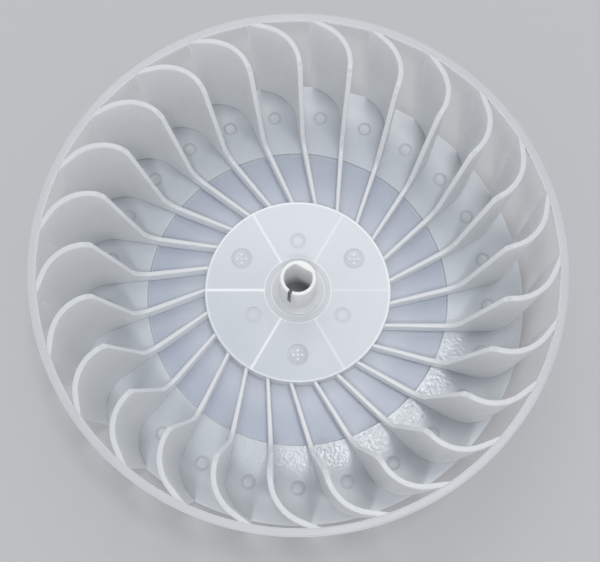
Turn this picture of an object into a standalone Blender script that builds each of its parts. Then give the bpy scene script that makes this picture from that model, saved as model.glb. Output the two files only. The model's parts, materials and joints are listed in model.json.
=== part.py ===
"""Blower wheel of an air dryer, moulded in one piece from natural polypropylene.

Metres, +Z up along the wheel's axis. The origin is the middle of the flat back, on which the wheel lies
with its inlet ring up. Angles run anticlockwise seen from the inlet side.
"""
import math

import bmesh
import bpy
from mathutils import Matrix, Vector

# Whole wheel
OUTER_RADIUS = 0.105
WHEEL_HEIGHT = 0.0645

# Facets round the axis and along the rounded edges
TURN_STEPS = 75
CORE_STEPS = 40
CORE_START_ANGLE = math.radians(1.5)
EDGE_STEPS = 2
FILLET_STEPS = 3
INLET_FOOT_STEPS = 5
MERGE_DISTANCE = 0.00001

# Ring round the inlet
RING_WIDTH = 0.0032
RING_HEIGHT = 0.0030
RING_ROUNDING = 0.0008

# Back plate: a thin web with a thicker, raised band under the blades
PLATE_EDGE_GAP = 0.0012
BAND_INNER_RADIUS = 0.0667
BAND_THICKNESS = 0.0031
BAND_STEP_RUN = 0.0004
WEB_THICKNESS = 0.0015
PLATE_ROUNDING = 0.0003

# Raised hub, hollow behind, with ribs on its back from the boss to the skirt
HUB_RADIUS = 0.0409
HUB_HEIGHT = 0.0107
HUB_WALL = 0.0022
HUB_ROUNDING = 0.0006
BACK_RIB_COUNT = 6
BACK_RIB_THICKNESS = 0.0016
BACK_RIB_DEPTH = 0.0035

# Shallow moulding marks on the hub's face: gate marks, and ejector pin marks between them
MARK_COUNT = 3
MARK_SIDES = 24
GATE_MARK_DIAMETER = 0.0094
GATE_MARK_DISTANCE = 0.0287
GATE_MARK_DEPTH = 0.0003
GATE_MARK_ANGLE = math.radians(30)
EJECTOR_MARK_DIAMETER = 0.0073
EJECTOR_MARK_DISTANCE = 0.0225
EJECTOR_MARK_DEPTH = 0.0002
EJECTOR_MARK_ANGLE = math.radians(90)

# Shallow ejector pin marks in the band, one midway between each two blades
BAND_MARK_SIDES = 12
BAND_MARK_DIAMETER = 0.0063
BAND_MARK_EDGE_DISTANCE = 0.0156
BAND_MARK_DEPTH = 0.0002

# Split collar that is clamped on the motor shaft, with a boss behind it and a shallow moat round its foot
SHAFT_DIAMETER = 0.012
SHAFT_CLEARANCE = 0.00005
SHAFT_FLAT_DEPTH = 0.0012
SHAFT_FLAT_DROP = 0.0007
SHAFT_FLAT_STEPS = 12
COLLAR_HEIGHT = 0.0223
COLLAR_WALL = 0.0015
COLLAR_DRAFT = 0.00075
COLLAR_ROUNDING = 0.0004
COLLAR_FOOT_ROUNDING = 0.0024
BOSS_WALL = 0.0043
BOSS_PAD_WIDTH = 0.00065
BOSS_PAD_HEIGHT = 0.0003
MOAT_WIDTH = 0.0033
MOAT_DEPTH = 0.0004
SLIT_WIDTH = 0.0011
SLIT_DEPTH = 0.0140
FLAT_ANGLE = math.radians(61)

# Blades: straight from the hub, then bent forward, and straight again into the ring
BLADE_COUNT = 25
BLADE_THICKNESS = 0.0021
BLADE_BEND_RADIUS = 0.01755
BLADE_BEND_RIM_GAP = 0.0009
BLADE_BEND_START = math.radians(-91.8)
BLADE_BEND_END = math.radians(-27)
BLADE_BEND_STEPS = 8
BLADE_TAIL_INSET = 0.0002
BLADE_RING_BITE = 0.0009
FIRST_BEND_ANGLE = math.radians(15.6)
BLADE_LOW_DROP = 0.0009
BLADE_RING_DROP = 0.0003

# Inlet mouth that is cut into the blades' front edges, inside the flat shoulders beside the ring
BLADE_SHOULDER_WIDTH = 0.0201
INLET_LEAN = math.radians(11)
INLET_TOP_ROUNDING = 0.0040
INLET_FOOT_ROUNDING = 0.0080

# Surface of the plastic
PLASTIC_COLOUR = (0.78, 0.81, 0.84, 1.0)
PLASTIC_ROUGHNESS = 0.38
PLASTIC_SUBSURFACE = 0.3

# How far joined shapes run into each other, and how far cutters stand out
OVERLAP = 0.0008
CUTTER_MARGIN = 0.002

# Values worked out from the sizes above
RING_INNER_RADIUS = OUTER_RADIUS - RING_WIDTH
RING_BOTTOM = WHEEL_HEIGHT - RING_HEIGHT
PLATE_RADIUS = RING_INNER_RADIUS - PLATE_EDGE_GAP
RECESS_RADIUS = HUB_RADIUS - HUB_WALL
RECESS_HEIGHT = HUB_HEIGHT - HUB_WALL
BORE_RADIUS = SHAFT_DIAMETER / 2 + SHAFT_CLEARANCE
FLAT_DISTANCE = BORE_RADIUS - SHAFT_FLAT_DEPTH
COLLAR_TOP = HUB_HEIGHT + COLLAR_HEIGHT
COLLAR_RADIUS = BORE_RADIUS + COLLAR_WALL
COLLAR_FOOT_RADIUS = COLLAR_RADIUS + COLLAR_DRAFT
BOSS_RADIUS = BORE_RADIUS + BOSS_WALL
BOSS_PAD_RADIUS = BOSS_RADIUS + BOSS_PAD_WIDTH
MOAT_RADIUS = BOSS_PAD_RADIUS + MOAT_WIDTH
MOAT_FLOOR = HUB_HEIGHT - MOAT_DEPTH
BOSS_PAD_TOP = MOAT_FLOOR + BOSS_PAD_HEIGHT
BLADE_BOTTOM = WEB_THICKNESS / 2
BLADE_LOW_TOP = HUB_HEIGHT - BLADE_LOW_DROP
BLADE_TOP = WHEEL_HEIGHT - BLADE_RING_DROP
BLADE_END_RADIUS = RING_INNER_RADIUS + RING_WIDTH / 2
INLET_RADIUS = RING_INNER_RADIUS - BLADE_SHOULDER_WIDTH
BEND_CENTRE_DISTANCE = RING_INNER_RADIUS - BLADE_BEND_RIM_GAP - BLADE_BEND_RADIUS
BAND_MARK_DISTANCE = PLATE_RADIUS - BAND_MARK_EDGE_DISTANCE


def clear_scene():
    for item in list(bpy.data.objects):
        bpy.data.objects.remove(item, do_unlink=True)


def new_collection(name):
    collection = bpy.data.collections.new(name)
    bpy.context.scene.collection.children.link(collection)
    return collection


def natural_plastic():
    material = bpy.data.materials.new("natural_polypropylene")
    material.use_nodes = True
    shader = material.node_tree.nodes["Principled BSDF"]
    shader.inputs["Base Color"].default_value = PLASTIC_COLOUR
    shader.inputs["Roughness"].default_value = PLASTIC_ROUGHNESS
    shader.inputs["Metallic"].default_value = 0.0
    shader.inputs["Subsurface Weight"].default_value = PLASTIC_SUBSURFACE
    return material


def arc(centre_x, centre_z, radius, start, end, steps):
    """Points of an arc in the profile plane, with its angles in degrees."""
    points = []
    for step in range(steps + 1):
        angle = math.radians(start + (end - start) * step / steps)
        points.append((centre_x + radius * math.cos(angle), centre_z + radius * math.sin(angle)))
    return points


def fillet(before, corner, after, radius, steps):
    """Round the corner between two straight runs of a profile with an arc that touches both."""
    corner = Vector(corner)
    to_before = (Vector(before) - corner).normalized()
    to_after = (Vector(after) - corner).normalized()
    half_angle = to_before.angle(to_after) / 2
    centre = corner + (to_before + to_after).normalized() * (radius / math.sin(half_angle))
    first = corner + to_before * (radius / math.tan(half_angle)) - centre
    last = corner + to_after * (radius / math.tan(half_angle)) - centre
    turn = first.angle_signed(last)
    points = []
    for step in range(steps + 1):
        angle = -turn * step / steps
        point = centre + Matrix.Rotation(angle, 2) @ first
        points.append((point.x, point.y))
    return points


def turned(name, profile, steps, collection, start_angle=0.0):
    """A closed profile, listed down its outer side first, turned about the Z axis from a start angle."""
    mesh = bpy.data.meshes.new(name)
    vertices = [(x, 0.0, z) for x, z in profile]
    edges = [(index, (index + 1) % len(profile)) for index in range(len(profile))]
    mesh.from_pydata(vertices, edges, [])
    item = bpy.data.objects.new(name, mesh)
    item.rotation_euler.z = start_angle
    collection.objects.link(item)
    screw = item.modifiers.new("turn", "SCREW")
    screw.axis = "Z"
    screw.angle = math.tau
    screw.steps = steps
    screw.render_steps = steps
    screw.use_merge_vertices = True
    screw.merge_threshold = MERGE_DISTANCE
    return item


def combine(item, others, operation):
    """One exact Boolean of an object with all the objects of a collection."""
    boolean = item.modifiers.new(operation.lower(), "BOOLEAN")
    boolean.operand_type = "COLLECTION"
    boolean.collection = others
    boolean.operation = operation
    boolean.solver = "EXACT"


def hide(item):
    item.hide_render = True
    item.display_type = "WIRE"


def plate_profile():
    """Moat, hub face, skirt, web and band, back to the hollow behind the hub."""
    core_radius = (BORE_RADIUS + BOSS_RADIUS) / 2
    band_start = BAND_INNER_RADIUS + BAND_STEP_RUN
    points = [(core_radius, MOAT_FLOOR), (MOAT_RADIUS - MOAT_DEPTH, MOAT_FLOOR), (MOAT_RADIUS, HUB_HEIGHT)]
    points += arc(HUB_RADIUS - HUB_ROUNDING, HUB_HEIGHT - HUB_ROUNDING, HUB_ROUNDING, 90, 0, EDGE_STEPS)
    points += [(HUB_RADIUS, WEB_THICKNESS), (BAND_INNER_RADIUS, WEB_THICKNESS), (band_start, BAND_THICKNESS)]
    edge_x = PLATE_RADIUS - PLATE_ROUNDING
    points += arc(edge_x, BAND_THICKNESS - PLATE_ROUNDING, PLATE_ROUNDING, 90, 0, EDGE_STEPS)
    points += [(PLATE_RADIUS, PLATE_ROUNDING), (edge_x, 0.0)]
    points += [(RECESS_RADIUS, 0.0), (RECESS_RADIUS, RECESS_HEIGHT), (core_radius, RECESS_HEIGHT)]
    return points


def core_profile():
    """Collar, its foot on the hub face, and the boss that reaches down to the back."""
    foot = (COLLAR_FOOT_RADIUS, BOSS_PAD_TOP)
    mouth = (COLLAR_RADIUS, COLLAR_TOP)
    pad_edge = (BOSS_PAD_RADIUS, BOSS_PAD_TOP)
    points = [(COLLAR_RADIUS - COLLAR_ROUNDING, COLLAR_TOP), (COLLAR_RADIUS, COLLAR_TOP - COLLAR_ROUNDING)]
    points += fillet(mouth, foot, pad_edge, COLLAR_FOOT_ROUNDING, FILLET_STEPS)
    points += [pad_edge, (BOSS_PAD_RADIUS, MOAT_FLOOR - OVERLAP), (BOSS_RADIUS, MOAT_FLOOR - OVERLAP)]
    points += [(BOSS_RADIUS, 0.0), (BORE_RADIUS + COLLAR_ROUNDING, 0.0), (BORE_RADIUS, COLLAR_ROUNDING)]
    points += [(BORE_RADIUS, COLLAR_TOP - COLLAR_ROUNDING), (BORE_RADIUS + COLLAR_ROUNDING, COLLAR_TOP)]
    return points


def ring_profile():
    outer = OUTER_RADIUS - RING_ROUNDING
    inner = RING_INNER_RADIUS + RING_ROUNDING
    top = WHEEL_HEIGHT - RING_ROUNDING
    bottom = RING_BOTTOM + RING_ROUNDING
    points = [(outer, WHEEL_HEIGHT), (OUTER_RADIUS, top), (OUTER_RADIUS, bottom), (outer, RING_BOTTOM)]
    points += [(inner, RING_BOTTOM), (RING_INNER_RADIUS, bottom), (RING_INNER_RADIUS, top)]
    points += [(inner, WHEEL_HEIGHT)]
    return points


def blade_envelope_profile():
    """Room that the blades fill. The inlet's mouth is cut out of its top. Its outer side leans
    out from the back plate's edge to the ring, as the blades' trailing edges do."""
    lean_run = (BLADE_TOP - BLADE_LOW_TOP) * math.tan(INLET_LEAN)
    mouth_corner = (INLET_RADIUS, BLADE_TOP)
    mouth_foot = (INLET_RADIUS - lean_run, BLADE_LOW_TOP)
    inside = (RECESS_RADIUS, BLADE_LOW_TOP)
    outside = (RING_INNER_RADIUS + BLADE_RING_BITE, BLADE_TOP)
    shoulder = (outside[0], RING_BOTTOM + RING_ROUNDING)
    ring_side = (RING_INNER_RADIUS + BLADE_RING_BITE / 2, shoulder[1])
    plate_side = (PLATE_RADIUS - BLADE_TAIL_INSET, BAND_THICKNESS - PLATE_ROUNDING)
    points = [outside, shoulder, ring_side, plate_side]
    points += [(plate_side[0], 0.0), (RECESS_RADIUS, 0.0), inside]
    points += fillet(inside, mouth_foot, mouth_corner, INLET_FOOT_ROUNDING, INLET_FOOT_STEPS)
    points += fillet(mouth_foot, mouth_corner, outside, INLET_TOP_ROUNDING, FILLET_STEPS)
    return points


def bend_point(angle):
    """Point of the first blade's bend, by its angle about the bend's centre."""
    x = BEND_CENTRE_DISTANCE + BLADE_BEND_RADIUS * math.cos(angle)
    return Vector((x, BLADE_BEND_RADIUS * math.sin(angle)))


def run_to_radius(start, direction, radius):
    """Where a straight run from a point, in a direction, comes to a distance from the wheel's axis."""
    along = start.dot(direction)
    foot = start - direction * along
    return foot + direction * math.sqrt(radius ** 2 - foot.length_squared)


def blade_middle_line():
    """The first blade seen from above, from its root in the hub's wall to beyond its end in the ring."""
    first_direction = Vector((-math.sin(BLADE_BEND_START), math.cos(BLADE_BEND_START)))
    last_direction = Vector((-math.sin(BLADE_BEND_END), math.cos(BLADE_BEND_END)))
    points = [run_to_radius(bend_point(BLADE_BEND_START), first_direction, HUB_RADIUS - HUB_WALL / 2)]
    for step in range(BLADE_BEND_STEPS + 1):
        share = step / BLADE_BEND_STEPS
        points.append(bend_point(BLADE_BEND_START + (BLADE_BEND_END - BLADE_BEND_START) * share))
    points.append(run_to_radius(bend_point(BLADE_BEND_END), last_direction, BLADE_END_RADIUS))
    return points


def blade_fan(collection):
    """All blades as upright sheets, thickened evenly to both sides."""
    mesh = bpy.data.meshes.new("blade_fan")
    form = bmesh.new()
    line = blade_middle_line()
    for number in range(BLADE_COUNT):
        turn = Matrix.Rotation(FIRST_BEND_ANGLE + math.tau * number / BLADE_COUNT, 4, "Z")
        low = [form.verts.new(turn @ Vector((point.x, point.y, BLADE_BOTTOM))) for point in line]
        high = [form.verts.new(turn @ Vector((point.x, point.y, WHEEL_HEIGHT))) for point in line]
        for index in range(len(line) - 1):
            form.faces.new((low[index], low[index + 1], high[index + 1], high[index]))
    form.to_mesh(mesh)
    form.free()
    item = bpy.data.objects.new("blade_fan", mesh)
    collection.objects.link(item)
    solidify = item.modifiers.new("thickness", "SOLIDIFY")
    solidify.thickness = BLADE_THICKNESS
    solidify.offset = 0.0
    solidify.use_even_offset = True
    return item


def prism(name, outline, bottom, top, collection):
    """An upright solid over a flat outline that is listed anticlockwise."""
    mesh = bpy.data.meshes.new(name)
    form = bmesh.new()
    base = form.faces.new([form.verts.new((x, y, bottom)) for x, y in outline])
    base.normal_flip()
    raised = bmesh.ops.extrude_face_region(form, geom=[base])
    lifted = [part for part in raised["geom"] if isinstance(part, bmesh.types.BMVert)]
    bmesh.ops.translate(form, vec=(0.0, 0.0, top - bottom), verts=lifted)
    bmesh.ops.recalc_face_normals(form, faces=form.faces)
    form.to_mesh(mesh)
    form.free()
    collection.objects.link(bpy.data.objects.new(name, mesh))


def shaft_flat(collection):
    """The chord across the collar's bore that meets the flat of the shaft."""
    seat_radius = BORE_RADIUS + COLLAR_WALL / 2
    half_angle = math.acos(FLAT_DISTANCE / seat_radius)
    outline = []
    for step in range(SHAFT_FLAT_STEPS + 1):
        angle = FLAT_ANGLE - half_angle + 2 * half_angle * step / SHAFT_FLAT_STEPS
        outline.append((seat_radius * math.cos(angle), seat_radius * math.sin(angle)))
    prism("shaft_flat", outline, HUB_HEIGHT, COLLAR_TOP - SHAFT_FLAT_DROP, collection)


def rotated_box(outline_length, width, start, angle):
    """Corners, anticlockwise, of a strip that runs outward from a start radius at an angle."""
    along = Vector((math.cos(angle), math.sin(angle)))
    across = Vector((-along.y, along.x)) * (width / 2)
    near = along * start
    far = along * (start + outline_length)
    return [tuple(near - across), tuple(far - across), tuple(far + across), tuple(near + across)]


def collar_slit(collection):
    """The saw cut through the collar's wall, opposite the flat."""
    outline = rotated_box(BOSS_RADIUS + CUTTER_MARGIN, SLIT_WIDTH, 0.0, FLAT_ANGLE + math.pi)
    prism("slit_cutter", outline, COLLAR_TOP - SLIT_DEPTH, COLLAR_TOP + CUTTER_MARGIN, collection)


def back_ribs(collection):
    """Ribs on the hub's back, from the boss to the skirt."""
    start = BOSS_RADIUS - OVERLAP
    length = RECESS_RADIUS + OVERLAP - start
    for number in range(BACK_RIB_COUNT):
        outline = rotated_box(length, BACK_RIB_THICKNESS, start, math.tau * number / BACK_RIB_COUNT)
        name = f"back_rib_{number + 1}"
        prism(name, outline, RECESS_HEIGHT - BACK_RIB_DEPTH, RECESS_HEIGHT + OVERLAP, collection)


def round_mark(name, sides, diameter, distance, angle, face_height, depth, collection):
    """Cutter of a shallow round mark in an upward face, with its middle at a distance from the axis."""
    outline = []
    for side in range(sides):
        turn = math.tau * side / sides
        x = distance * math.cos(angle) + diameter / 2 * math.cos(turn)
        y = distance * math.sin(angle) + diameter / 2 * math.sin(turn)
        outline.append((x, y))
    prism(name, outline, face_height - depth, face_height + CUTTER_MARGIN, collection)


def hub_marks(collection):
    """The marks that the mould's gates and ejector pins leave, evenly round the hub."""
    for number in range(MARK_COUNT):
        gate_angle = GATE_MARK_ANGLE + math.tau * number / MARK_COUNT
        pin_angle = EJECTOR_MARK_ANGLE + math.tau * number / MARK_COUNT
        gate = (f"gate_mark_{number + 1}", MARK_SIDES, GATE_MARK_DIAMETER, GATE_MARK_DISTANCE)
        pin = (f"ejector_mark_{number + 1}", MARK_SIDES, EJECTOR_MARK_DIAMETER, EJECTOR_MARK_DISTANCE)
        round_mark(*gate, gate_angle, HUB_HEIGHT, GATE_MARK_DEPTH, collection)
        round_mark(*pin, pin_angle, HUB_HEIGHT, EJECTOR_MARK_DEPTH, collection)


def blade_angle(distance):
    """Angle about the wheel's axis at which the first blade crosses a distance from that axis."""
    line = blade_middle_line()
    crossing = line[-1]
    for near, far in zip(line, line[1:]):
        if near.length <= distance <= far.length:
            share = (distance - near.length) / (far.length - near.length)
            crossing = near.lerp(far, share)
    return FIRST_BEND_ANGLE + math.atan2(crossing.y, crossing.x)


def band_marks(collection):
    pitch = math.tau / BLADE_COUNT
    first = blade_angle(BAND_MARK_DISTANCE) + pitch / 2
    for number in range(BLADE_COUNT):
        mark = (f"band_mark_{number + 1}", BAND_MARK_SIDES, BAND_MARK_DIAMETER, BAND_MARK_DISTANCE)
        round_mark(*mark, first + pitch * number, BAND_THICKNESS, BAND_MARK_DEPTH, collection)


def build():
    clear_scene()
    wheel_parts = new_collection("blower_wheel")
    joined = new_collection("cutters_joined")
    limits = new_collection("cutters_blades")
    removed = new_collection("cutters_removed")
    half_step = math.pi / TURN_STEPS
    wheel = turned("blower_wheel", plate_profile(), TURN_STEPS, wheel_parts)
    turned("hub_core", core_profile(), CORE_STEPS, joined, CORE_START_ANGLE)
    turned("inlet_ring", ring_profile(), TURN_STEPS, joined, half_step)
    turned("blade_envelope", blade_envelope_profile(), TURN_STEPS, limits, half_step)
    fan = blade_fan(joined)
    shaft_flat(joined)
    back_ribs(joined)
    collar_slit(removed)
    hub_marks(removed)
    band_marks(removed)
    combine(fan, limits, "INTERSECT")
    combine(wheel, joined, "UNION")
    combine(wheel, removed, "DIFFERENCE")
    for collection in (joined, limits, removed):
        for item in collection.objects:
            hide(item)
    wheel.data.materials.append(natural_plastic())


build()
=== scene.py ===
import json
import math

import bmesh
import bpy
from mathutils import Matrix, Vector

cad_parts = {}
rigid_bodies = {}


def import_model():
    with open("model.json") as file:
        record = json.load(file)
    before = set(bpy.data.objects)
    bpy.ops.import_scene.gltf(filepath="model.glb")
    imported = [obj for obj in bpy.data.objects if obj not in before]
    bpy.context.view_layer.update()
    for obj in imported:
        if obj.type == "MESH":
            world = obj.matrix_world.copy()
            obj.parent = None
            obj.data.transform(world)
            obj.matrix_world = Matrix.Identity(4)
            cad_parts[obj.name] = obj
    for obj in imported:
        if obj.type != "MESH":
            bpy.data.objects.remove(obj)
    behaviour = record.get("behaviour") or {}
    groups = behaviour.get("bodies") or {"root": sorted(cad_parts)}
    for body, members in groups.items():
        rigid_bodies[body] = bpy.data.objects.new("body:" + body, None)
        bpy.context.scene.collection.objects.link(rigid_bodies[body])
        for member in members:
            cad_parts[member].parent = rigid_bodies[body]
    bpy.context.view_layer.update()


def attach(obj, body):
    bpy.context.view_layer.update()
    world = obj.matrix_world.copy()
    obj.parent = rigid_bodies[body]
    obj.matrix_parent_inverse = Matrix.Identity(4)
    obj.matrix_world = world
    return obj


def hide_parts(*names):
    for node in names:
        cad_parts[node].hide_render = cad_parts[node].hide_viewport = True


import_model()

# Sizes of the wheel, in metres. They follow the solid model, but the slit is a little wider here
# and the blades get thinner toward their roots. The first blade is made with the centre of its bend
# on the x axis, and is then turned to its place by FIRST_BEND_ANGLE.
OUTER_RADIUS = 0.1049
WHEEL_HEIGHT = 0.0645
RING_INNER_RADIUS = 0.1018
RING_HEIGHT = 0.0030
RING_ROUNDING = 0.0008
PLATE_RADIUS = 0.1006
PLATE_ROUNDING = 0.0003
BAND_INNER_RADIUS = 0.0667
BAND_THICKNESS = 0.0031
BAND_STEP_RUN = 0.0004
BAND_STEP_ROUNDING = 0.0003
WEB_THICKNESS = 0.0015
HUB_RADIUS = 0.0409
HUB_HEIGHT = 0.0107
HUB_ROUNDING = 0.0006
HUB_FOOT_ROUNDING = 0.0005
RECESS_RADIUS = 0.0387
RECESS_HEIGHT = 0.0085
RECESS_ROUNDING = 0.0008
RECESS_RIM_ROUNDING = 0.0004
BACK_RIB_COUNT = 6
BACK_RIB_THICKNESS = 0.0016
BACK_RIB_DEPTH = 0.0035
BORE_RADIUS = 0.00605
FLAT_DISTANCE = 0.00485
FLAT_ANGLE = math.radians(61)
COLLAR_TOP = 0.0330
COLLAR_RADIUS = 0.00755
COLLAR_FOOT_RADIUS = 0.0083
COLLAR_ROUNDING = 0.0004
COLLAR_FOOT_ROUNDING = 0.0024
BOSS_RADIUS = 0.01035
BOSS_PAD_RADIUS = 0.0110
BOSS_PAD_TOP = 0.0106
BOSS_PAD_ROUNDING = 0.0002
MOAT_RADIUS = 0.0143
MOAT_FLOOR = 0.0103
MOAT_FLOOR_ROUNDING = 0.0002
MOAT_RIM_ROUNDING = 0.0003
SLIT_WIDTH = 0.0015
SLIT_DEPTH = 0.0140
SLIT_ANGLE = FLAT_ANGLE + math.pi
BLADE_COUNT = 25
BLADE_THICKNESS = 0.0021
BLADE_ROOT_THICKNESS = 0.0015
BLADE_BEND_RADIUS = 0.01755
BEND_CENTRE_DISTANCE = 0.08335
BLADE_BEND_START = math.radians(-91.8)
BLADE_BEND_END = math.radians(-27)
BLADE_LOW_END_RADIUS = 0.1004
BLADE_HIGH_END_RADIUS = 0.1023
BLADE_BOTTOM = 0.00075
BLADE_LOW_TOP = 0.0098
BLADE_TOP = 0.0642
BLADE_EDGE_ROUNDING = 0.0004
FIRST_BEND_ANGLE = math.radians(15.6)
INLET_RADIUS = 0.0817
INLET_LEAN = math.radians(11)
INLET_TOP_ROUNDING = 0.0040
INLET_FOOT_ROUNDING = 0.0080

# Moulding marks
HUB_MARK_COUNT = 3
GATE_MARK_DIAMETER = 0.0094
GATE_MARK_DISTANCE = 0.0287
GATE_MARK_DEPTH = 0.0004
GATE_MARK_ANGLE = math.radians(30)
GATE_PIP_DIAMETER = 0.0012
GATE_PIP_HEIGHT = 0.00025
GATE_PIP_DISTANCE = 0.0019
EJECTOR_MARK_DIAMETER = 0.0073
EJECTOR_MARK_DISTANCE = 0.0225
EJECTOR_MARK_DEPTH = 0.0003
EJECTOR_MARK_ANGLE = math.radians(90)
PAD_MARK_DIAMETER = 0.0063
PAD_MARK_DISTANCE = 0.0850
PAD_MARK_DEPTH = 0.0003
PAD_MARK_ANGLE = math.radians(10.9)

# How the forms are meshed. They reach into each other by OVERLAP, and the turned ones start at angles
# of their own, so that no faces coincide.
OVERLAP = 0.0008
SAME_PLACE = 0.00002
TURN_STEPS = 300
CORE_STEPS = 96
BEND_STEPS = 26
CORE_START_ANGLE = math.radians(1.1)
RING_START_ANGLE = math.radians(0.31)
PLATE_ROUNDING_STEPS = 4
CORE_ROUNDING_STEPS = 5
RING_ROUNDING_STEPS = 6
INLET_FOOT_STEPS = 12
INLET_TOP_STEPS = 8
ROOT_PARTS = 3
SLANT_PARTS = 8
FLAT_STEPS = 16
HUB_MARK_SIDES = 48
PAD_MARK_SIDES = 40
PIP_SIDES = 16
BLADE_EDGE_SEGMENTS = 3
BLADE_EDGE_ANGLE = math.radians(50)
SHARP_ANGLE = math.radians(32)
NORMAL_WEIGHT = 60

# Zones of the plastic, in metres: the limits of a radius or a height, then half the width of the soft edge
WEB_RADII = (HUB_RADIUS + 0.0002, BAND_INNER_RADIUS - 0.0003, 0.0003)
WEB_HIGHEST = (WEB_THICKNESS + 0.0005, 0.0004)
WEB_NEAR_HUB = (0.051, 0.008)
BAND_START = (BAND_INNER_RADIUS - 0.0003, 0.0003)
BAND_HIGHEST = (BAND_THICKNESS + 0.0007, 0.0006)
BAND_INNER_END = (0.084, 0.006)
BAND_OUTER_START = (0.0925, 0.003)
STIPPLE_END = (0.079, 0.004)
HUB_END = (HUB_RADIUS + 0.0002, 0.0002)
HUB_LOWEST = (HUB_HEIGHT - 0.0015, 0.0006)
MOAT_RADII = (BOSS_PAD_RADIUS - 0.0003, MOAT_RADIUS - 0.0004, 0.0003)
COLLAR_END = (BOSS_PAD_RADIUS, 0.0003)
COLLAR_LOWEST = (HUB_HEIGHT + 0.0003, 0.0004)
LIP_LOWEST = (COLLAR_TOP - 0.0003, 0.0002)
BORE_END = (BORE_RADIUS + 0.0002, 0.0001)
BORE_HEIGHTS = (0.0008, COLLAR_TOP, 0.0004)
SLIT_SIDES = (-SLIT_WIDTH / 2 - 0.0001, SLIT_WIDTH / 2 + 0.0001, 0.0001)
SLIT_RADII = (BORE_RADIUS - 0.0002, BOSS_PAD_RADIUS, 0.0001)
SLIT_HEIGHTS = (COLLAR_TOP - SLIT_DEPTH - 0.0005, COLLAR_TOP - 0.0004, 0.0003)
RING_START = (RING_INNER_RADIUS - 0.0001, 0.0002)
RING_LOWEST = (WHEEL_HEIGHT - RING_HEIGHT - 0.001, 0.0003)
RIB_TOP_HEIGHTS = (BLADE_LOW_TOP - 0.001, 0.03, 0.0005)
RIB_SIDE_HEIGHTS = (WEB_THICKNESS, BLADE_LOW_TOP - 0.0008, 0.0008)
RIB_SIDE_RADII = (HUB_RADIUS, BAND_INNER_RADIUS + 0.004, 0.002)

# Painted highlight lines on the hub, over the back ribs and along the rims, and the distances from the
# middle of a round mark where its shades lie
RIB_LINE_EDGE = (0.0005, 0.0005)
RIB_LINE_RADII = (MOAT_RADIUS, HUB_RADIUS - 0.0006, 0.0005)
HUB_RIM_RADII = (HUB_RADIUS - 0.0010, HUB_RADIUS + 0.0001, 0.0003)
MOAT_RIM_RADII = (MOAT_RADIUS - 0.0001, MOAT_RADIUS + 0.0006, 0.0003)
PAD_RIM_RADII = (BOSS_PAD_RADIUS + 0.0004, BOSS_PAD_RADIUS + 0.0009, 0.0003)
GATE_WALL = (GATE_MARK_DIAMETER / 2 - 0.0014, GATE_MARK_DIAMETER / 2 - 0.0003, 0.0005)
GATE_FLOOR_EDGE = (GATE_MARK_DIAMETER / 2 - 0.0004, 0.0004)
GATE_DISH_EDGE = (0.0030, 0.0016)
PIPS_EDGE = (0.0030, 0.0003)
PIP_TOP = HUB_HEIGHT - GATE_MARK_DEPTH + GATE_PIP_HEIGHT
PIP_HEIGHTS = (PIP_TOP - 0.0001, HUB_HEIGHT - 0.0001, 0.00005)
EJECTOR_WALL = (EJECTOR_MARK_DIAMETER / 2 - 0.0015, EJECTOR_MARK_DIAMETER / 2 - 0.0003, 0.0007)
PAD_MARK_WALL = (PAD_MARK_DIAMETER / 2 - 0.0010, PAD_MARK_DIAMETER / 2, 0.0004)
PAD_DISH_EDGE = (0.0018, 0.0013)

# Limits of how much a surface faces up, and of where the hub has its painted sheen and the stipple is
# stronger
# Colours chosen by how much a surface faces up are painted light and shade.
TOP_FACING = (0.58, 0.34)
SLANT_FACING = (0.11, 0.55, 0.05)
SHEEN_DIRECTION = (0.35, 0.9)
SHEEN_EDGE = (0.0, 0.040)
STIPPLE_ANGLE = math.radians(-57)
STIPPLE_EDGE = (0.72, 0.25)

# Strengths. A pair is a factor and an offset for the value that it changes.
SHEEN_STRENGTH = 0.6
MOAT_SHADE_STRENGTH = 0.6
RIB_LINE_STRENGTH = (-0.35, 0.6)
RIM_HIGHLIGHT_STRENGTH = (0.5, 0.4)
PAD_RIM_HIGHLIGHT_STRENGTH = 0.6
HUB_MARK_STRENGTH = 0.6
HUB_MARK_CLOUD_OFFSET = 0.1
PAD_MARK_CLOUD_OFFSET = 0.15
STIPPLE_STRENGTH = (0.8, 0.2)

# Noises, each as scale, detail and roughness
CLOUD_NOISE = (45.0, 3.0, 0.55)
FINE_NOISE = (420.0, 4.0, 0.6)
STIPPLE_NOISE = (700.0, 1.5, 0.5)

# Finish of the surface
ROUGHNESS_RANGE = (0.26, 0.42)
STIPPLE_ROUGHNESS_CHANGE = -0.10
STIPPLE_SPECULAR = (0.35, 0.5)
FINE_BUMP = 0.25
CLOUD_BUMP = 0.8
STIPPLE_BUMP = 1.5
RIB_LINE_SINK = 0.6
DISH_SINK = 2.2
BUMP_STRENGTH = 0.5
BUMP_DISTANCE = 0.00025
REFRACTION_INDEX = 1.49
SCATTER_WEIGHT = (0.6, 0.35)
SCATTER_RADIUS = (1.0, 1.05, 1.15)
SCATTER_SCALE = (0.004, 0.0025)

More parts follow.
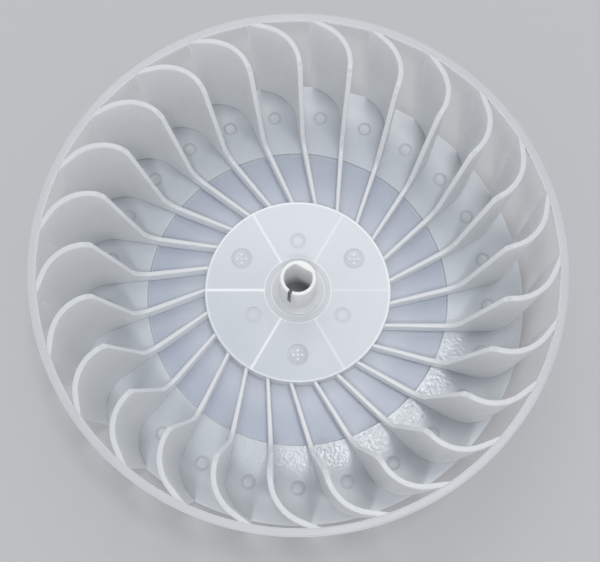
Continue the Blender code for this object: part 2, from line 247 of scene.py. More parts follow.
# The floor, the light and the camera. A lamp has a name, a place, a diameter, its watts and a colour.
# The camera's place and turn are those of the photo, worked out from the wheel's outlines in it.
FLOOR_SIZE = 15.0
FLOOR_HEIGHT = -0.0001
FLOOR_COLOUR = (0.47, 0.47, 0.48, 1.0)
FLOOR_ROUGHNESS = 0.8
SKY_COLOUR = (0.95, 0.97, 1.0, 1.0)
SKY_STRENGTH = 0.72
LAMPS = (
    ("key", (-0.1, 0.75, 1.2), 0.8, 3.0, (1.0, 0.99, 0.98)),
    ("overhead", (0.15, 0.05, 1.2), 0.15, 1.9, (1.0, 1.0, 1.0)),
    ("front", (-0.03, -0.47, 1.25), 0.15, 3.2, (1.0, 1.0, 1.0)),
)
CAMERA_PLACE = (-0.00294, -0.10280, 0.43820)
CAMERA_TURN = (math.radians(14.047), math.radians(-0.521), 0.0)
CAMERA_LENS = 60.0
CAMERA_SENSOR_WIDTH = 36.0
CAMERA_NEAREST = 0.01


def fillet(before, corner, after, radius, steps):
    """Arc that rounds the corner between two straight runs of a profile."""
    corner = Vector(corner)
    to_before = (Vector(before) - corner).normalized()
    to_after = (Vector(after) - corner).normalized()
    half_angle = to_before.angle(to_after) / 2
    centre = corner + (to_before + to_after).normalized() * (radius / math.sin(half_angle))
    first = corner + to_before * (radius / math.tan(half_angle)) - centre
    last = corner + to_after * (radius / math.tan(half_angle)) - centre
    turn = first.angle_signed(last)
    points = []
    for step in range(steps + 1):
        turned_point = Matrix.Rotation(-turn * step / steps, 2) @ first
        points.append((centre.x + turned_point.x, centre.y + turned_point.y))
    return points


def rounded(corners, steps):
    """A closed profile, from corners that are given as distance, height and rounding."""
    points = [corner[:2] for corner in corners]
    result = []
    for index, point in enumerate(points):
        rounding = corners[index][2]
        if rounding > 0:
            after = points[(index + 1) % len(points)]
            result += fillet(points[index - 1], point, after, rounding, steps)
        else:
            result.append(point)
    return result


def new_object(name, mesh, collection):
    item = bpy.data.objects.new(name, mesh)
    collection.objects.link(item)
    return item


def turned(name, profile, steps, collection, start_angle=0.0):
    """A closed profile of distances and heights, turned round the axis."""
    mesh = bpy.data.meshes.new(name)
    form = bmesh.new()
    loops = []
    for step in range(steps):
        angle = start_angle + math.tau * step / steps
        loops.append([form.verts.new((x * math.cos(angle), x * math.sin(angle), z)) for x, z in profile])
    for step in range(steps):
        this = loops[step]
        following = loops[(step + 1) % steps]
        for index in range(len(profile)):
            beside = (index + 1) % len(profile)
            form.faces.new((this[index], this[beside], following[beside], following[index]))
    bmesh.ops.recalc_face_normals(form, faces=form.faces)
    form.to_mesh(mesh)
    form.free()
    return new_object(name, mesh, collection)


def prism(name, outline, bottom, top, collection):
    """An outline seen from above, as a body between two heights."""
    mesh = bpy.data.meshes.new(name)
    form = bmesh.new()
    base = form.faces.new([form.verts.new((x, y, bottom)) for x, y in outline])
    raised = bmesh.ops.extrude_face_region(form, geom=[base])
    lifted = [part for part in raised["geom"] if isinstance(part, bmesh.types.BMVert)]
    bmesh.ops.translate(form, vec=(0.0, 0.0, top - bottom), verts=lifted)
    bmesh.ops.recalc_face_normals(form, faces=form.faces)
    form.to_mesh(mesh)
    form.free()
    return new_object(name, mesh, collection)


def toward(angle):
    """The direction at an angle, seen from above."""
    return Vector((math.cos(angle), math.sin(angle)))


def strip(length, width, start, angle):
    """Outline of a straight bar that runs outward at an angle round the axis."""
    along = toward(angle)
    across = Vector((-along.y, along.x)) * (width / 2)
    near = along * start
    far = along * (start + length)
    return [tuple(near - across), tuple(far - across), tuple(far + across), tuple(near + across)]


def circle(distance, angle, diameter, sides):
    """Outline of a round form at a distance from the axis and an angle round it."""
    outline = []
    for side in range(sides):
        turn = math.tau * side / sides
        x = distance * math.cos(angle) + diameter / 2 * math.cos(turn)
        y = distance * math.sin(angle) + diameter / 2 * math.sin(turn)
        outline.append((x, y))
    return outline


def plate(collection):
    """The back plate with the hub, which is hollow behind, and the moat in its face."""
    core_radius = (BORE_RADIUS + BOSS_RADIUS) / 2
    corners = [
        (core_radius, MOAT_FLOOR, 0),
        (MOAT_RADIUS, MOAT_FLOOR, MOAT_FLOOR_ROUNDING),
        (MOAT_RADIUS, HUB_HEIGHT, MOAT_RIM_ROUNDING),
        (HUB_RADIUS, HUB_HEIGHT, HUB_ROUNDING),
        (HUB_RADIUS, WEB_THICKNESS, HUB_FOOT_ROUNDING),
        (BAND_INNER_RADIUS, WEB_THICKNESS, BAND_STEP_ROUNDING),
        (BAND_INNER_RADIUS + BAND_STEP_RUN, BAND_THICKNESS, BAND_STEP_ROUNDING),
        (PLATE_RADIUS, BAND_THICKNESS, PLATE_ROUNDING),
        (PLATE_RADIUS, 0.0, PLATE_ROUNDING),
        (RECESS_RADIUS, 0.0, RECESS_RIM_ROUNDING),
        (RECESS_RADIUS, RECESS_HEIGHT, RECESS_ROUNDING),
        (core_radius, RECESS_HEIGHT, 0),
    ]
    return turned("plate", rounded(corners, PLATE_ROUNDING_STEPS), TURN_STEPS, collection)


def core(collection):
    """The boss and the collar round the bore."""
    corners = [
        (COLLAR_RADIUS, COLLAR_TOP, COLLAR_ROUNDING),
        (COLLAR_FOOT_RADIUS, BOSS_PAD_TOP, COLLAR_FOOT_ROUNDING),
        (BOSS_PAD_RADIUS, BOSS_PAD_TOP, BOSS_PAD_ROUNDING),
        (BOSS_PAD_RADIUS, MOAT_FLOOR - OVERLAP, 0),
        (BOSS_RADIUS, MOAT_FLOOR - OVERLAP, 0),
        (BOSS_RADIUS, 0.0, COLLAR_ROUNDING),
        (BORE_RADIUS, 0.0, COLLAR_ROUNDING),
        (BORE_RADIUS, COLLAR_TOP, COLLAR_ROUNDING),
    ]
    return turned("core", rounded(corners, CORE_ROUNDING_STEPS), CORE_STEPS, collection, CORE_START_ANGLE)


def ring(collection):
    """The inlet ring, which holds the blades' free ends."""
    bottom = WHEEL_HEIGHT - RING_HEIGHT
    corners = [
        (OUTER_RADIUS, WHEEL_HEIGHT, RING_ROUNDING),
        (OUTER_RADIUS, bottom, RING_ROUNDING),
        (RING_INNER_RADIUS, bottom, RING_ROUNDING),
        (RING_INNER_RADIUS, WHEEL_HEIGHT, RING_ROUNDING),
    ]
    return turned("ring", rounded(corners, RING_ROUNDING_STEPS), TURN_STEPS, collection, RING_START_ANGLE)


def bend_point(angle):
    """The point of the first blade's middle line at an angle round the centre of its bend."""
    return Vector((BEND_CENTRE_DISTANCE, 0.0)) + toward(angle) * BLADE_BEND_RADIUS


def run_to_radius(start, direction, radius):
    """Where a straight run from a point, in a direction, comes to a distance from the wheel's axis."""
    foot = start - direction * start.dot(direction)
    return foot + direction * math.sqrt(radius ** 2 - foot.length_squared)


def subdivided(first, last, parts):
    """Points strictly between two points of a profile."""
    between = []
    for part in range(1, parts):
        share = part / parts
        between.append((first[0] + (last[0] - first[0]) * share, first[1] + (last[1] - first[1]) * share))
    return between


def front_edge():
    """A blade's upper edge from its root, up the slant to the flat shoulder, as distance and height."""
    lean_run = (BLADE_TOP - BLADE_LOW_TOP) * math.tan(INLET_LEAN)
    corner = (INLET_RADIUS, BLADE_TOP)
    low_corner = (INLET_RADIUS - lean_run, BLADE_LOW_TOP)
    inside = ((HUB_RADIUS + RECESS_RADIUS) / 2, BLADE_LOW_TOP)
    outside = (PLATE_RADIUS, BLADE_TOP)
    low_fillet = fillet(inside, low_corner, corner, INLET_FOOT_ROUNDING, INLET_FOOT_STEPS)
    top_fillet = fillet(low_corner, corner, outside, INLET_TOP_ROUNDING, INLET_TOP_STEPS)
    edge = [inside] + subdivided(inside, low_fillet[0], ROOT_PARTS) + low_fillet
    return edge + subdivided(low_fillet[-1], top_fillet[0], SLANT_PARTS) + top_fillet


def blade_line(distance):
    """The point of the first blade's middle line at a distance from the axis, and its bend angle there."""
    start = bend_point(BLADE_BEND_START)
    if distance <= start.length:
        across = toward(BLADE_BEND_START)
        return run_to_radius(start, Vector((-across.y, across.x)), distance), BLADE_BEND_START
    squares = distance ** 2 - BEND_CENTRE_DISTANCE ** 2 - BLADE_BEND_RADIUS ** 2
    angle = -math.acos(squares / (2 * BEND_CENTRE_DISTANCE * BLADE_BEND_RADIUS))
    return bend_point(angle), angle


def column(place, angle, side, thickness, height):
    """The lower and the upper point of a blade's face at a place on its middle line."""
    point = place + toward(angle) * side * thickness / 2
    return ((point.x, point.y, BLADE_BOTTOM), (point.x, point.y, height))


def blade_face(side):
    """Columns of one face of the first blade, from root to end."""
    columns = []
    thinner = BLADE_THICKNESS - BLADE_ROOT_THICKNESS
    for distance, height in front_edge():
        place, angle = blade_line(distance)
        share = min(1.0, (distance - RECESS_RADIUS) / (BAND_INNER_RADIUS - RECESS_RADIUS))
        columns.append(column(place, angle, side, BLADE_THICKNESS - thinner * (1 - share), height))
    bend = BLADE_BEND_END - angle
    for step in range(1, BEND_STEPS + 1):
        turn = angle + bend * step / BEND_STEPS
        columns.append(column(bend_point(turn), turn, side, BLADE_THICKNESS, BLADE_TOP))
    across = toward(BLADE_BEND_END)
    direction = Vector((-across.y, across.x))
    place = bend_point(BLADE_BEND_END) + across * side * BLADE_THICKNESS / 2
    low_end = run_to_radius(place, direction, BLADE_LOW_END_RADIUS)
    high_end = run_to_radius(place, direction, BLADE_HIGH_END_RADIUS)
    columns.append(((low_end.x, low_end.y, BLADE_BOTTOM), (high_end.x, high_end.y, BLADE_TOP)))
    return columns


def first_blade(collection):
    """A thick blade with sharp edges, from the columns of its two faces."""
    mesh = bpy.data.meshes.new("blade")
    form = bmesh.new()
    sides = []
    for side in (-1, 1):
        sides.append([[form.verts.new(end) for end in ends] for ends in blade_face(side)])
    inner, outer = sides
    for index in range(len(inner) - 1):
        here, there = inner[index], inner[index + 1]
        back, beyond = outer[index], outer[index + 1]
        form.faces.new((here[0], there[0], there[1], here[1]))
        form.faces.new((back[0], back[1], beyond[1], beyond[0]))
        form.faces.new((here[1], there[1], beyond[1], back[1]))
        form.faces.new((here[0], back[0], beyond[0], there[0]))
    for end in (0, -1):
        form.faces.new((inner[end][0], inner[end][1], outer[end][1], outer[end][0]))
    bmesh.ops.recalc_face_normals(form, faces=form.faces)
    form.to_mesh(mesh)
    form.free()
    return new_object("blade", mesh, collection)


def evaluated_mesh(item):
    """A new mesh with the object's modifiers applied."""
    return bpy.data.meshes.new_from_object(item.evaluated_get(bpy.context.evaluated_depsgraph_get()))


def blades(collection):
    """The first blade with its edges rounded, then repeated round the axis."""
    blade = first_blade(collection)
    bevel = blade.modifiers.new("edges", "BEVEL")
    bevel.width = BLADE_EDGE_ROUNDING
    bevel.segments = BLADE_EDGE_SEGMENTS
    bevel.limit_method = "ANGLE"
    bevel.angle_limit = BLADE_EDGE_ANGLE
    bevel.use_clamp_overlap = False
    shape = evaluated_mesh(blade)
    bpy.data.objects.remove(blade)
    for number in range(BLADE_COUNT):
        copy = new_object(f"blade_{number + 1}", shape.copy(), collection)
        copy.data.transform(Matrix.Rotation(FIRST_BEND_ANGLE + math.tau * number / BLADE_COUNT, 4, "Z"))


def shaft_flat(collection):
    """The body that fills the bore beyond its flat."""
    seat_radius = BORE_RADIUS + (COLLAR_RADIUS - BORE_RADIUS) / 2
    half_angle = math.acos(FLAT_DISTANCE / seat_radius)
    outline = []
    for step in range(FLAT_STEPS + 1):
        angle = FLAT_ANGLE - half_angle + 2 * half_angle * step / FLAT_STEPS
        outline.append((seat_radius * math.cos(angle), seat_radius * math.sin(angle)))
    return prism("shaft_flat", outline, MOAT_FLOOR, COLLAR_TOP - COLLAR_ROUNDING, collection)


def back_ribs(collection):
    """The ribs between boss and hub, on the hub's back."""
    start = BOSS_RADIUS - OVERLAP
    length = RECESS_RADIUS + OVERLAP - start
    for number in range(BACK_RIB_COUNT):
        outline = strip(length, BACK_RIB_THICKNESS, start, math.tau * number / BACK_RIB_COUNT)
        prism(f"rib_{number}", outline, RECESS_HEIGHT - BACK_RIB_DEPTH, RECESS_HEIGHT + OVERLAP, collection)


def slit(collection):
    """The room that splits the collar, opposite the flat."""
    outline = strip(BOSS_PAD_RADIUS, SLIT_WIDTH, 0.0, SLIT_ANGLE)
    prism("slit", outline, COLLAR_TOP - SLIT_DEPTH, COLLAR_TOP + OVERLAP, collection)


def gate_pips(number, gate_angle, raised):
    """Small pips in a gate mark: one in its middle and four round it."""
    floor = HUB_HEIGHT - GATE_MARK_DEPTH
    middle = toward(gate_angle) * GATE_MARK_DISTANCE
    places = [middle]
    for quarter in range(4):
        places.append(middle + toward(math.pi / 2 * quarter) * GATE_PIP_DISTANCE)
    for index, place in enumerate(places):
        outline = circle(place.length, math.atan2(place.y, place.x), GATE_PIP_DIAMETER, PIP_SIDES)
        prism(f"pip_{number}_{index}", outline, floor - OVERLAP / 2, floor + GATE_PIP_HEIGHT, raised)


def marks(removed, raised):
    """The round marks in the hub's face and in the band."""
    above_hub = HUB_HEIGHT + OVERLAP
    for number in range(HUB_MARK_COUNT):
        turn = math.tau * number / HUB_MARK_COUNT
        gate = GATE_MARK_ANGLE + turn
        outline = circle(GATE_MARK_DISTANCE, gate, GATE_MARK_DIAMETER, HUB_MARK_SIDES)
        prism(f"gate_{number}", outline, HUB_HEIGHT - GATE_MARK_DEPTH, above_hub, removed)
        gate_pips(number, gate, raised)
        ejector = EJECTOR_MARK_ANGLE + turn
        outline = circle(EJECTOR_MARK_DISTANCE, ejector, EJECTOR_MARK_DIAMETER, HUB_MARK_SIDES)
        prism(f"pin_{number}", outline, HUB_HEIGHT - EJECTOR_MARK_DEPTH, above_hub, removed)
    for number in range(BLADE_COUNT):
        angle = PAD_MARK_ANGLE + math.tau * number / BLADE_COUNT
        outline = circle(PAD_MARK_DISTANCE, angle, PAD_MARK_DIAMETER, PAD_MARK_SIDES)
        floor = BAND_THICKNESS - PAD_MARK_DEPTH
        prism(f"pad_mark_{number}", outline, floor, BAND_THICKNESS + OVERLAP, removed)


def combine(item, others, operation):
    """Joins all objects of a collection to an object, or takes them away from it."""
    boolean = item.modifiers.new(others.name, "BOOLEAN")
    boolean.operand_type = "COLLECTION"
    boolean.collection = others
    boolean.operation = operation
    boolean.solver = "EXACT"


def sharpen_plate_edge(mesh):
    """Marks the circle where the band meets the plate's rounded edge, so that the band is shaded flat."""
    flat_radius = PLATE_RADIUS - PLATE_ROUNDING
    for edge in mesh.edges:
        ends = [mesh.vertices[index].co for index in edge.vertices]
        on_circle = all(abs(end.xy.length - flat_radius) < SAME_PLACE for end in ends)
        on_top = all(abs(end.z - BAND_THICKNESS) < SAME_PLACE for end in ends)
        if on_circle and on_top:
            edge.use_edge_sharp = True


def moulding():
    """The whole wheel as one closed mesh."""
    collections = [bpy.data.collections.new(name) for name in ("wheel", "joined", "removed", "raised")]
    for collection in collections:
        bpy.context.scene.collection.children.link(collection)
    shown, joined, removed, raised = collections
    body = plate(shown)
    core(joined)
    ring(joined)
    blades(joined)
    shaft_flat(joined)
    back_ribs(joined)
    slit(removed)
    marks(removed, raised)
    combine(body, joined, "UNION")
    combine(body, removed, "DIFFERENCE")
    combine(body, raised, "UNION")
    mesh = evaluated_mesh(body)
    for collection in collections:
        for item in list(collection.objects):
            bpy.data.objects.remove(item)
        bpy.data.collections.remove(collection)
    mesh.shade_smooth()
    mesh.set_sharp_from_angle(angle=SHARP_ANGLE)
    sharpen_plate_edge(mesh)
    wheel = new_object("wheel_moulding", mesh, bpy.context.scene.collection)
    weighted = wheel.modifiers.new("normals", "WEIGHTED_NORMAL")
    weighted.keep_sharp = True
    weighted.weight = NORMAL_WEIGHT
    return wheel


def grey(value, blue):
    """A near-neutral colour, a little bluer by a share of its value."""
    return (value * (1 - blue), value, value * (1 + blue), 1.0)


# Colours of the plastic, zone by zone. Several of them have light or shade painted in, as said above each.
# The cloudy noise mixes the two of a pair.
FACE_COLOURS = (grey(0.765, 0.012), grey(0.835, 0.01))
# Painted light on the ribs' low sides, against the shade at their feet, and on what slants; painted shade on
# what faces up, less on the rib tops.
RIB_SIDE_PAINTED_LIGHT_COLOUR = grey(0.90, 0.02)
SLANT_PAINTED_LIGHT_COLOUR = grey(0.84, 0.01)
TOP_PAINTED_SHADE_COLOUR = grey(0.575, 0.03)
RIB_TOP_PAINTED_SHADE_COLOUR = grey(0.67, 0.02)
# Painted shade: the thin web is lavender grey, as if a dark ground showed through it. Near the hub, painted
# light against the shadow of the hub and the ribs.
WEB_PAINTED_SHADE_COLOURS = ((0.40, 0.435, 0.545, 1.0), (0.48, 0.51, 0.555, 1.0))
WEB_NEAR_HUB_PAINTED_LIGHT_COLOUR = (0.54, 0.576, 0.64, 1.0)
BAND_COLOURS = (grey(0.62, 0.05), grey(0.72, 0.045))
BAND_INNER_COLOURS = (grey(0.54, 0.07), grey(0.64, 0.055))
BAND_OUTER_COLOURS = (grey(0.56, 0.05), grey(0.65, 0.045))
HUB_COLOURS = (grey(0.535, 0.065), grey(0.62, 0.055))
# Painted sheen on the hub's upper right side
HUB_PAINTED_SHEEN_COLOUR = grey(0.77, 0.04)
# Painted shade in the moat
MOAT_PAINTED_SHADE_COLOUR = grey(0.56, 0.03)
COLLAR_COLOUR = grey(0.80, 0.005)
# Painted highlight on the collar's lip, and painted light on the bore's wall
LIP_PAINTED_HIGHLIGHT_COLOUR = grey(0.93, 0.005)
BORE_PAINTED_LIGHT_COLOUR = grey(0.97, 0.01)
# Painted shade in the slit
SLIT_PAINTED_SHADE_COLOUR = grey(0.22, 0.02)
# Painted highlight on the ring's walls and rounded edges, painted shade on its top
RING_WALL_PAINTED_HIGHLIGHT_COLOUR = grey(0.90, 0.02)
RING_TOP_PAINTED_SHADE_COLOURS = (grey(0.48, 0.025), grey(0.53, 0.025))
# Painted highlight along the lines over the back ribs
RIB_LINE_PAINTED_HIGHLIGHT_COLOUR = grey(0.88, 0.02)
# Painted highlight along the rims on the hub
RIM_PAINTED_HIGHLIGHT_COLOUR = grey(0.88, 0.03)
HUB_MARK_COLOUR = grey(0.46, 0.05)
PIP_COLOUR = grey(0.74, 0.03)
PAD_MARK_COLOUR = grey(0.49, 0.05)


class Nodes:
    """Adds linked nodes to a material's tree."""

    def __init__(self, tree):
        self.tree = tree

    def add(self, kind, label, **settings):
        item = self.tree.nodes.new(kind)
        item.label = label
        for key, value in settings.items():
            setattr(item, key, value)
        return item

    def feed(self, socket, value):
        """Links a socket to a node's output, or sets its own value."""
        if isinstance(value, bpy.types.NodeSocket):
            self.tree.links.new(value, socket)
        else:
            socket.default_value = value

    def maths(self, operation, *values):
        item = self.add("ShaderNodeMath", operation.lower(), operation=operation)
        for index, value in enumerate(values):
            self.feed(item.inputs[index], value)
        return item.outputs[0]

    def times(self, product, *factors):
        for factor in factors:
            product = self.maths("MULTIPLY", product, factor)
        return product

    def scaled(self, value, factor, offset):
        """A value times a factor, plus an offset."""
        return self.maths("MULTIPLY_ADD", value, factor, offset)

    def step(self, value, limit, soft, start, end):
        """Goes smoothly from one number to another where a value passes a limit."""
        item = self.add("ShaderNodeMapRange", "step", interpolation_type="SMOOTHSTEP")
        self.feed(item.inputs["Value"], value)
        self.feed(item.inputs["From Min"], limit - soft)
        self.feed(item.inputs["From Max"], limit + soft)
        self.feed(item.inputs["To Min"], start)
        self.feed(item.inputs["To Max"], end)
        return item.outputs[0]

    def above(self, value, limit, soft):
        """A mask that is 1 above a limit and 0 below it, with a soft edge."""
        return self.step(value, limit, soft, 0.0, 1.0)

    def below(self, value, limit, soft):
        return self.step(value, limit, soft, 1.0, 0.0)

    def between(self, value, low, high, soft):
        return self.times(self.above(value, low, soft), self.below(value, high, soft))

    def mixed(self, factor, first, second):
        """The first colour where the factor is 0, and the second where it is 1."""
        item = self.add("ShaderNodeMix", "blend", data_type="RGBA")
        self.feed(item.inputs["Factor"], factor)
        self.feed(item.inputs["A"], first)
        self.feed(item.inputs["B"], second)
        return item.outputs["Result"]

    def noise(self, position, scale, detail, roughness):
        item = self.add("ShaderNodeTexNoise", "noise")
        self.feed(item.inputs["Vector"], position)
        self.feed(item.inputs["Scale"], scale)
        self.feed(item.inputs["Detail"], detail)
        self.feed(item.inputs["Roughness"], roughness)
        return item.outputs["Fac"]

    def separated(self, vector):
        item = self.add("ShaderNodeSeparateXYZ", "separate")
        self.feed(item.inputs[0], vector)
        return item.outputs


class Surface(Nodes):
    """Shader values that say where on the wheel a point lies, and in which zone."""

    def __init__(self, tree):
        super().__init__(tree)
        self.place()
        self.zones()
        self.round_marks()

    def place(self):
        position = self.add("ShaderNodeTexCoord", "position").outputs["Object"]
        self.x, self.y, self.z = self.separated(position)
        squares = self.maths("ADD", self.times(self.x, self.x), self.times(self.y, self.y))
        self.radius = self.maths("SQRT", squares)
        self.angle = self.maths("ARCTAN2", self.y, self.x)
        normal = self.add("ShaderNodeNewGeometry", "surface").outputs["Normal"]
        upward = self.separated(normal)["Z"]
        self.tops = self.above(upward, *TOP_FACING)
        self.slants = self.between(upward, *SLANT_FACING)
        self.cloud = self.noise(position, *CLOUD_NOISE)
        self.fine = self.noise(position, *FINE_NOISE)
        self.stipple = self.noise(position, *STIPPLE_NOISE)

    def zones(self):
        radius, z = self.radius, self.z
        self.web = self.times(self.between(radius, *WEB_RADII), self.below(z, *WEB_HIGHEST))
        self.band = self.times(self.above(radius, *BAND_START), self.below(z, *BAND_HIGHEST))
        self.hub = self.times(self.below(radius, *HUB_END), self.above(z, *HUB_LOWEST))
        self.collar = self.times(self.below(radius, *COLLAR_END), self.above(z, *COLLAR_LOWEST))
        self.ring = self.times(self.above(radius, *RING_START), self.above(z, *RING_LOWEST))
        # The hub's side toward the upper right, which gets a painted sheen
        to_upper_right = self.scaled(self.x, SHEEN_DIRECTION[0], self.times(self.y, SHEEN_DIRECTION[1]))
        self.painted_sheen_side = self.above(to_upper_right, *SHEEN_EDGE)

    def round_marks(self):
        self.gate = self.mark_distance(HUB_MARK_COUNT, GATE_MARK_ANGLE, GATE_MARK_DISTANCE)
        self.ejector = self.mark_distance(HUB_MARK_COUNT, EJECTOR_MARK_ANGLE, EJECTOR_MARK_DISTANCE)
        self.pad_mark = self.mark_distance(BLADE_COUNT, PAD_MARK_ANGLE, PAD_MARK_DISTANCE)

    def mark_distance(self, count, first_angle, distance):
        """Distance from the middle of the nearest of some marks that stand evenly round the axis."""
        half_pitch = math.pi / count
        folded = self.maths("WRAP", self.maths("SUBTRACT", self.angle, first_angle), half_pitch, -half_pitch)
        along = self.maths("SUBTRACT", self.times(self.radius, self.maths("COSINE", folded)), distance)
        across = self.times(self.radius, self.maths("SINE", folded))
        squares = self.maths("ADD", self.times(along, along), self.times(across, across))
        return self.maths("SQRT", squares)

    def clouded(self, colours):
        """A pair of colours, mixed by the cloudy noise."""
        return self.mixed(self.cloud, *colours)


def blade_layers(surface):
    """Masks and colours of the blades' sides near the hub, and of what slants or faces up: painted light on
    the low sides and on what slants, and painted shade on what faces up, less on the rib tops.
    """
    low_sides = surface.between(surface.z, *RIB_SIDE_HEIGHTS)
    low_sides = surface.times(low_sides, surface.between(surface.radius, *RIB_SIDE_RADII))
    rib_tops = surface.times(surface.tops, surface.between(surface.z, *RIB_TOP_HEIGHTS))
    return [
        (low_sides, RIB_SIDE_PAINTED_LIGHT_COLOUR),
        (surface.slants, SLANT_PAINTED_LIGHT_COLOUR),
        (surface.tops, TOP_PAINTED_SHADE_COLOUR),
        (rib_tops, RIB_TOP_PAINTED_SHADE_COLOUR),
    ]


def plate_layers(surface):
    """Masks and colours of the thin web, the band and the hub's face: painted shade in the web, lifted by
    painted light near the hub, a painted sheen on the hub's upper right and painted shade in the moat.
    """
    near_hub = surface.below(surface.radius, *WEB_NEAR_HUB)
    web_colour = surface.mixed(near_hub, surface.clouded(WEB_PAINTED_SHADE_COLOURS), WEB_NEAR_HUB_PAINTED_LIGHT_COLOUR)
    band_colour = surface.clouded(BAND_COLOURS)
    inner_band = surface.below(surface.radius, *BAND_INNER_END)
    band_colour = surface.mixed(inner_band, band_colour, surface.clouded(BAND_INNER_COLOURS))
    outer_band = surface.above(surface.radius, *BAND_OUTER_START)
    band_colour = surface.mixed(outer_band, band_colour, surface.clouded(BAND_OUTER_COLOURS))
    # Painted sheen on the hub's upper right side
    lighter = surface.times(surface.painted_sheen_side, SHEEN_STRENGTH)
    hub_colour = surface.mixed(lighter, surface.clouded(HUB_COLOURS), HUB_PAINTED_SHEEN_COLOUR)
    # Painted shade in the moat round the collar's foot
    moat = surface.times(surface.between(surface.radius, *MOAT_RADII), surface.hub, MOAT_SHADE_STRENGTH)
    return [
        (surface.web, web_colour),
        (surface.band, band_colour),
        (surface.hub, hub_colour),
        (moat, MOAT_PAINTED_SHADE_COLOUR),
    ]


def slit_shade_mask(surface):
    """Mask of the painted shade on the walls and the foot of the collar's slit."""
    cosine = math.cos(SLIT_ANGLE)
    sine = math.sin(SLIT_ANGLE)
    along = surface.scaled(surface.x, cosine, surface.times(surface.y, sine))
    across = surface.scaled(surface.x, -sine, surface.times(surface.y, cosine))
    return surface.times(
        surface.between(across, *SLIT_SIDES),
        surface.between(along, *SLIT_RADII),
        surface.between(surface.z, *SLIT_HEIGHTS),
    )


def collar_layers(surface):
    """Masks and colours of the collar, of its lip with a painted highlight, the bore with painted light and
    the slit with painted shade, and of the inlet ring with painted highlights on its walls and painted shade
    on its top.
    """
    lip = surface.times(surface.collar, surface.above(surface.z, *LIP_LOWEST))
    bore = surface.times(surface.below(surface.radius, *BORE_END), surface.between(surface.z, *BORE_HEIGHTS))
    # Painted highlight on the ring's walls and rounded edges, painted shade on its top
    ring_colour = surface.mixed(surface.tops, RING_WALL_PAINTED_HIGHLIGHT_COLOUR, surface.clouded(RING_TOP_PAINTED_SHADE_COLOURS))
    return [
        (surface.collar, COLLAR_COLOUR),
        (lip, LIP_PAINTED_HIGHLIGHT_COLOUR),
        (bore, BORE_PAINTED_LIGHT_COLOUR),
        (slit_shade_mask(surface), SLIT_PAINTED_SHADE_COLOUR),
        (surface.ring, ring_colour),
    ]


def rib_sinks_and_highlights(surface):
    """Mask of the lines on the hub's face over the ribs on its back, stronger at the left: a painted
    highlight in the colour, and a small sink in the relief.
    """
    sine = surface.maths("SINE", surface.times(surface.angle, BACK_RIB_COUNT / 2))
    distance = surface.times(surface.maths("ABSOLUTE", sine), surface.radius, 2 / BACK_RIB_COUNT)
    run = surface.times(surface.between(surface.radius, *RIB_LINE_RADII), surface.hub)
    strength = surface.scaled(surface.maths("COSINE", surface.angle), *RIB_LINE_STRENGTH)
    return surface.times(surface.below(distance, *RIB_LINE_EDGE), run, strength)


def rim_highlights(surface):
    """Mask of the painted highlights along the rims of the hub's face, the moat and the collar's foot,
    stronger on the side with the painted sheen.
    """
    rims = surface.between(surface.radius, *HUB_RIM_RADII)
    rims = surface.maths("ADD", rims, surface.between(surface.radius, *MOAT_RIM_RADII))
    pad_rim = surface.times(surface.between(surface.radius, *PAD_RIM_RADII), PAD_RIM_HIGHLIGHT_STRENGTH)
    rims = surface.maths("ADD", rims, pad_rim)
    return surface.times(rims, surface.hub, surface.scaled(surface.painted_sheen_side, *RIM_HIGHLIGHT_STRENGTH))


def mark_layers(surface):
    """Masks and colours of the darker rings along the walls of the round marks, and of the pips."""
    gate_wall = surface.between(surface.gate, *GATE_WALL)
    gate_floor = surface.times(surface.below(surface.gate, *GATE_FLOOR_EDGE), HUB_MARK_STRENGTH)
    ejector_wall = surface.times(surface.between(surface.ejector, *EJECTOR_WALL), HUB_MARK_STRENGTH)
    hub_marks = surface.maths("MAXIMUM", surface.maths("MAXIMUM", gate_wall, gate_floor), ejector_wall)
    uneven = surface.maths("ADD", surface.cloud, HUB_MARK_CLOUD_OFFSET)
    hub_marks = surface.times(hub_marks, surface.hub, uneven)
    pips = surface.times(surface.below(surface.gate, *PIPS_EDGE), surface.between(surface.z, *PIP_HEIGHTS))
    uneven = surface.maths("ADD", surface.cloud, PAD_MARK_CLOUD_OFFSET)
    pad_marks = surface.times(surface.between(surface.pad_mark, *PAD_MARK_WALL), surface.band, uneven)
    return [
        (hub_marks, HUB_MARK_COLOUR),
        (pips, PIP_COLOUR),
        (pad_marks, PAD_MARK_COLOUR),
    ]


def stippled(surface):
    """Mask of the band's inner part, where the surface is stippled, most of all at the lower right."""
    inner_band = surface.times(surface.band, surface.below(surface.radius, *STIPPLE_END))
    nearness = surface.maths("COSINE", surface.maths("SUBTRACT", surface.angle, STIPPLE_ANGLE))
    strength = surface.scaled(surface.above(nearness, *STIPPLE_EDGE), *STIPPLE_STRENGTH)
    return surface.times(inner_band, strength)


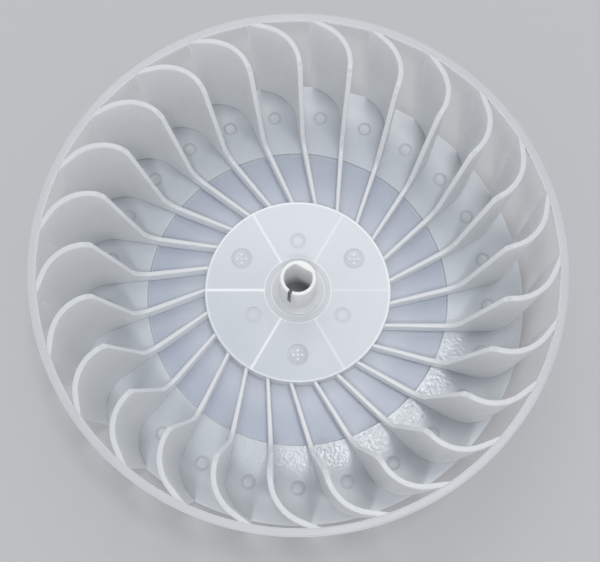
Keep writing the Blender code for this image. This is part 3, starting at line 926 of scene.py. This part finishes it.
def fine_relief(surface, stipple_mask, rib_sink_and_highlight_mask):
    """The small unevenness of the surface, as the normal that it gives."""
    height = surface.times(surface.fine, FINE_BUMP)
    height = surface.maths("ADD", height, surface.times(surface.cloud, CLOUD_BUMP))
    height = surface.maths("ADD", height, surface.times(surface.stipple, stipple_mask, STIPPLE_BUMP))
    height = surface.maths("SUBTRACT", height, surface.times(rib_sink_and_highlight_mask, RIB_LINE_SINK))
    pad_dish = surface.times(surface.below(surface.pad_mark, *PAD_DISH_EDGE), surface.band)
    gate_dish = surface.times(surface.below(surface.gate, *GATE_DISH_EDGE), surface.hub)
    dish = surface.maths("MAXIMUM", pad_dish, gate_dish)
    height = surface.maths("SUBTRACT", height, surface.times(dish, DISH_SINK))
    bump = surface.add("ShaderNodeBump", "relief")
    surface.feed(bump.inputs["Strength"], BUMP_STRENGTH)
    surface.feed(bump.inputs["Distance"], BUMP_DISTANCE)
    surface.feed(bump.inputs["Height"], height)
    return bump.outputs[0]


def roughness(surface, stipple_mask):
    """Varies with the fine noise, and is less where the band is stippled."""
    item = surface.add("ShaderNodeMapRange", "roughness")
    surface.feed(item.inputs["Value"], surface.fine)
    surface.feed(item.inputs["To Min"], ROUGHNESS_RANGE[0])
    surface.feed(item.inputs["To Max"], ROUGHNESS_RANGE[1])
    return surface.scaled(stipple_mask, STIPPLE_ROUGHNESS_CHANGE, item.outputs[0])


def plastic():
    """Natural polypropylene, cool white, with light and shade painted into its colour; the lavender grey of
    the thin web is painted shade.
    """
    material = bpy.data.materials.new("natural_polypropylene")
    material.use_nodes = True
    surface = Surface(material.node_tree)
    rib_sink_and_highlight_mask = rib_sinks_and_highlights(surface)
    stipple_mask = stippled(surface)

    layers = blade_layers(surface) + plate_layers(surface) + collar_layers(surface)
    layers += [(rib_sink_and_highlight_mask, RIB_LINE_PAINTED_HIGHLIGHT_COLOUR), (rim_highlights(surface), RIM_PAINTED_HIGHLIGHT_COLOUR)]
    colour = surface.clouded(FACE_COLOURS)
    for mask, layer_colour in layers + mark_layers(surface):
        colour = surface.mixed(mask, colour, layer_colour)

    shader_values = {
        "Base Color": colour,
        "Roughness": roughness(surface, stipple_mask),
        "Specular IOR Level": surface.scaled(stipple_mask, *STIPPLE_SPECULAR),
        "Normal": fine_relief(surface, stipple_mask, rib_sink_and_highlight_mask),
        "IOR": REFRACTION_INDEX,
        "Subsurface Weight": surface.scaled(surface.collar, *SCATTER_WEIGHT),
        "Subsurface Radius": SCATTER_RADIUS,
        "Subsurface Scale": surface.scaled(surface.collar, *SCATTER_SCALE),
    }
    shader = material.node_tree.nodes["Principled BSDF"]
    for name, value in shader_values.items():
        surface.feed(shader.inputs[name], value)
    return material


def stage():
    """The pale floor under the wheel."""
    mesh = bpy.data.meshes.new("floor")
    form = bmesh.new()
    bmesh.ops.create_grid(form, x_segments=1, y_segments=1, size=FLOOR_SIZE)
    form.to_mesh(mesh)
    form.free()
    floor = new_object("floor", mesh, bpy.context.scene.collection)
    floor.location.z = FLOOR_HEIGHT
    material = bpy.data.materials.new("pale_floor")
    material.use_nodes = True
    shader = material.node_tree.nodes["Principled BSDF"]
    shader.inputs["Base Color"].default_value = FLOOR_COLOUR
    shader.inputs["Roughness"].default_value = FLOOR_ROUGHNESS
    mesh.materials.append(material)


def aimed_light(name, location, size, power, colour):
    """A round lamp that points at the wheel's back, on the axis."""
    lamp = bpy.data.lights.new(name, "AREA")
    lamp.shape = "DISK"
    lamp.size = size
    lamp.energy = power
    lamp.color = colour
    item = bpy.data.objects.new(name, lamp)
    item.location = location
    item.rotation_euler = (-Vector(location)).to_track_quat("-Z", "Y").to_euler()
    bpy.context.scene.collection.objects.link(item)


def lights():
    world = bpy.data.worlds.new("studio")
    world.use_nodes = True
    background = world.node_tree.nodes["Background"]
    background.inputs["Color"].default_value = SKY_COLOUR
    background.inputs["Strength"].default_value = SKY_STRENGTH
    bpy.context.scene.world = world
    for lamp in LAMPS:
        aimed_light(*lamp)


def camera():
    view = bpy.data.cameras.new("camera")
    view.lens = CAMERA_LENS
    view.sensor_width = CAMERA_SENSOR_WIDTH
    view.clip_start = CAMERA_NEAREST
    item = bpy.data.objects.new("camera", view)
    item.location = CAMERA_PLACE
    item.rotation_euler = CAMERA_TURN
    bpy.context.scene.collection.objects.link(item)
    bpy.context.scene.camera = item


camera()
lights()
stage()
wheel = moulding()
wheel.data.materials.append(plastic())
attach(wheel, "root")
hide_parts("blower_wheel")
bpy.context.scene.view_settings.view_transform = "Standard"
